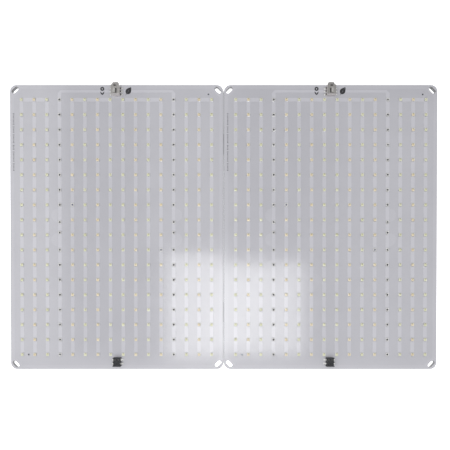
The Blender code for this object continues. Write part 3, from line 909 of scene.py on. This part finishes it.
def knob_grip(side, selector):
    """Fine ribs across the top of the knob."""
    low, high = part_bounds(f"{side}_switch_slider")
    x, y, top = (low.x + high.x) / 2, low.y + KNOB_MIDDLE, high.z

    def build(bm):
        for rib in range(GRIP_RIBS):
            v = y + (rib - (GRIP_RIBS - 1) / 2) * GRIP_PITCH
            foot = level(rectangle(1.5 * MM, 0.4 * MM, (x, v)), top - 0.1 * MM)
            crest = level(rectangle(1.3 * MM, 0.16 * MM, (x, v)), top + 0.02 * MM)
            lofted(bm, [foot, crest])

    return built(f"{side}_knob_grip", build, [FINISH["knob"]], "slider_nylon", body=selector)


def solder_pads(side, part_box, name, finish, places, rows):
    """Solder on the board at these places from the middle of a part's box."""
    low, high = part_box
    x, y = (low.x + high.x) / 2, (low.y + high.y) / 2
    top = board_middle(side)[2]

    def build(bm):
        for u, v in places:
            loops = []
            for width, height, radius, z in rows:
                outline = rounded_rectangle(width, height, radius, 4, (x + u, y + v))
                loops.append(level(outline, top + z))
            lofted(bm, loops)

    return built(f"{side}_{name}", build, [finish], "tinned_contact")


# Power terminal


TAB_REACH = 5.1 * MM
TAB_INSET = 0.2 * MM
TAB_Y = 1.85 * MM
# Width, height and corner radius of the solder at each height above the board
TAB_SOLDER = (
    (2.2 * MM, 2.1 * MM, 0.5 * MM, -SINK),
    (1.6 * MM, 1.5 * MM, 0.5 * MM, 0.16 * MM),
    (0.9 * MM, 0.9 * MM, 0.4 * MM, 0.24 * MM),
)


def terminal(side):
    softened(
        f"{side}_terminal_housing",
        f"{side}_terminal_body",
        FINISH["housing"],
        "black_moulding",
        0.12 * MM,
    )
    for pole in "ab":
        repaint(f"{side}_terminal_contact_{pole}", FINISH["contact"])
        repaint(f"{side}_terminal_spring_{pole}", FINISH["spring"])
        softened(
            f"{side}_release_button_{pole}",
            f"{side}_release_key_{pole}",
            FINISH["button"],
            "release_button",
            0.08 * MM,
            f"{side}_button_{pole}",
        )
    tabs = [(sx * (TAB_REACH - TAB_INSET), sy * TAB_Y) for sx in (-1, 1) for sy in (-1, 1)]
    housing_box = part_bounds(f"{side}_terminal_housing")
    solder_pads(side, housing_box, "terminal_solder", FINISH["solder"], tabs, TAB_SOLDER)


# Joining bars and fixings


def fixings():
    for end in ("upper", "lower"):
        softened(
            f"{end}_joining_bar", f"{end}_bar_plate", FINISH["aluminium"], "aluminium", 0.35 * MM
        )
    for number in range(1, 5):
        socket_screw(number)
        repaint(f"clinch_nut_{number}", FINISH["screw"])


HEX_R = 1.15 * MM
HEX_DEPTH = 1.1 * MM
HEX_LIP = 0.02 * MM
SHANK_R = 1.45 * MM
SHANK_POINT = 0.3 * MM
HEAD_H = 1.5 * MM
# Shares of the head's radius and height, from its socket's face inwards
HEAD_PROFILE = ((0.72, 0.0), (0.9, 0.25), (0.985, 0.62), (1.0, 0.9), (1.0, 1.0))
ROUND_STEPS = 36


def socket_screw(number):
    """A domed screw, its hexagon socket facing down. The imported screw's head is countersunk,
    so this one is the wrong way round and cuts into the bar about it."""
    node = f"joining_screw_{number}"
    low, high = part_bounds(node)
    x, y = (low.x + high.x) / 2, (low.y + high.y) / 2
    head_r, base, tip = (high.x - low.x) / 2, low.z, high.z
    seat = base + HEAD_H

    def build(bm):
        loops = [level(hexagon(x, y), base + HEX_DEPTH), level(hexagon(x, y), base + HEX_LIP)]
        turns = [(head_r * share, base + HEAD_H * up) for share, up in HEAD_PROFILE]
        turns += [(SHANK_R, seat), (SHANK_R, tip - SHANK_POINT), (SHANK_R * 0.75, tip)]
        loops += [level(circle(radius, ROUND_STEPS, (x, y)), z) for radius, z in turns]
        lofted(bm, loops)

    bolt = f"joining_bolt_{number}"
    return built(bolt, build, [FINISH["screw"]], "zinc_steel", stands_for=[node])


def hexagon(x, y):
    """A hexagon with ROUND_STEPS points, so that it joins a round loop of as many."""
    corners = circle(HEX_R, 6, (x, y))
    share = ROUND_STEPS // 6
    points = []
    for i in range(6):
        a, b = Vector(corners[i]), Vector(corners[(i + 1) % 6])
        points += [tuple(a.lerp(b, t / share)) for t in range(share)]
    return points


# Stage


FLOOR_HALF = 3
FLOOR_DROP = 0.2 * MM
FLOOR_GLOW = 0.75


def floor():
    """A white floor that glows a little, so that it shows as the photo's plain background."""
    bm = bmesh.new()
    bmesh.ops.create_grid(bm, x_segments=1, y_segments=1, size=FLOOR_HALF)
    mesh = bpy.data.meshes.new("floor")
    bm.to_mesh(mesh)
    bm.free()
    obj = bpy.data.objects.new("floor", mesh)
    bpy.context.scene.collection.objects.link(obj)
    obj.location.z = -FLOOR_DROP
    made = bpy.data.materials.new("floor_white")
    made.use_nodes = True
    shader = made.node_tree.nodes["Principled BSDF"]
    shader.inputs["Base Color"].default_value = (0.9, 0.9, 0.9, 1)
    shader.inputs["Roughness"].default_value = 0.9
    shader.inputs["Specular IOR Level"].default_value = 0.0
    shader.inputs["Emission Color"].default_value = (1, 1, 1, 1)
    shader.inputs["Emission Strength"].default_value = FLOOR_GLOW
    mesh.materials.append(made)


def panel(name, centre, size, radiance):
    """A level softbox of this radiance, facing down."""
    light = bpy.data.lights.new(name, "AREA")
    light.shape = "RECTANGLE"
    light.size, light.size_y = size
    light.energy = radiance * math.pi * size[0] * size[1]
    obj = bpy.data.objects.new(name, light)
    obj.location = centre
    bpy.context.scene.collection.objects.link(obj)


# EYE's height is above the boards' top faces, and SPAN is the width seen at their level.
EYE = Vector((0.8 * MM, -74 * MM, 460 * MM))
TARGET = (1.35 * MM, 2.55 * MM)
SPAN = 451 * MM
SENSOR = 36.0
PITCH = math.radians(-0.52)


def camera():
    """Looks straight down from below the middle. Its shift brings the object back into frame."""
    distance = EYE.z
    data = bpy.data.cameras.new("camera")
    data.sensor_width = SENSOR
    data.lens = SENSOR * distance / SPAN
    data.shift_x = (TARGET[0] - EYE.x) / SPAN
    data.shift_y = (TARGET[1] - EYE.y - distance * math.tan(PITCH)) / SPAN
    data.clip_start, data.clip_end = 0.01, 20
    obj = bpy.data.objects.new("camera", data)
    obj.location = (EYE.x, EYE.y, board_middle("left")[2] + distance)
    obj.rotation_euler = (PITCH, 0, 0)
    bpy.context.scene.collection.objects.link(obj)
    bpy.context.scene.camera = obj


def lights():
    """The three window panels make the bright reflection. The others set the tone round it."""
    world = bpy.data.worlds.new("studio")
    bpy.context.scene.world = world
    world.use_nodes = True
    backdrop = world.node_tree.nodes["Background"]
    backdrop.inputs["Color"].default_value = (0.97, 0.98, 1.0, 1)
    backdrop.inputs["Strength"].default_value = 0.45
    panel("window_left", (-0.092, -0.089, 1.0), (0.184, 0.334), 6.5)
    panel("window_right", (0.125, -0.0965, 1.0), (0.25, 0.291), 6.1)
    panel("low_strip", (0.0, -0.355, 1.0), (1.6, 0.19), 1.3)
    panel("right_strip", (0.62, 0.16, 1.0), (0.5, 0.8), 0.7)
    panel("sky_strip", (-0.115, 0.43, 1.0), (0.27, 0.66), 0.8)
    panel("window_core", (0.028, -0.105, 0.99), (0.175, 0.262), 1.2)
    panel("fill", (-0.2, -0.65, 1.0), (0.6, 0.55), 3.2)
    panel("side_window", (-0.73, 0.16, 1.0), (0.44, 0.95), 1.8)
    bpy.context.scene.view_settings.view_transform = "Standard"


for side in SIDES:
    repaint(f"{side}_circuit_board", FINISH["board"])
    repaint(f"{side}_thermal_sheet", FINISH["pad"])
    repaint(f"{side}_heat_spreader", FINISH["aluminium"])
    copper_border(side)
    copper_patches(side)
    led_strings(side)
    legend(side)
    switch(side)
    terminal(side)
fixings()
floor()
camera()
lights()
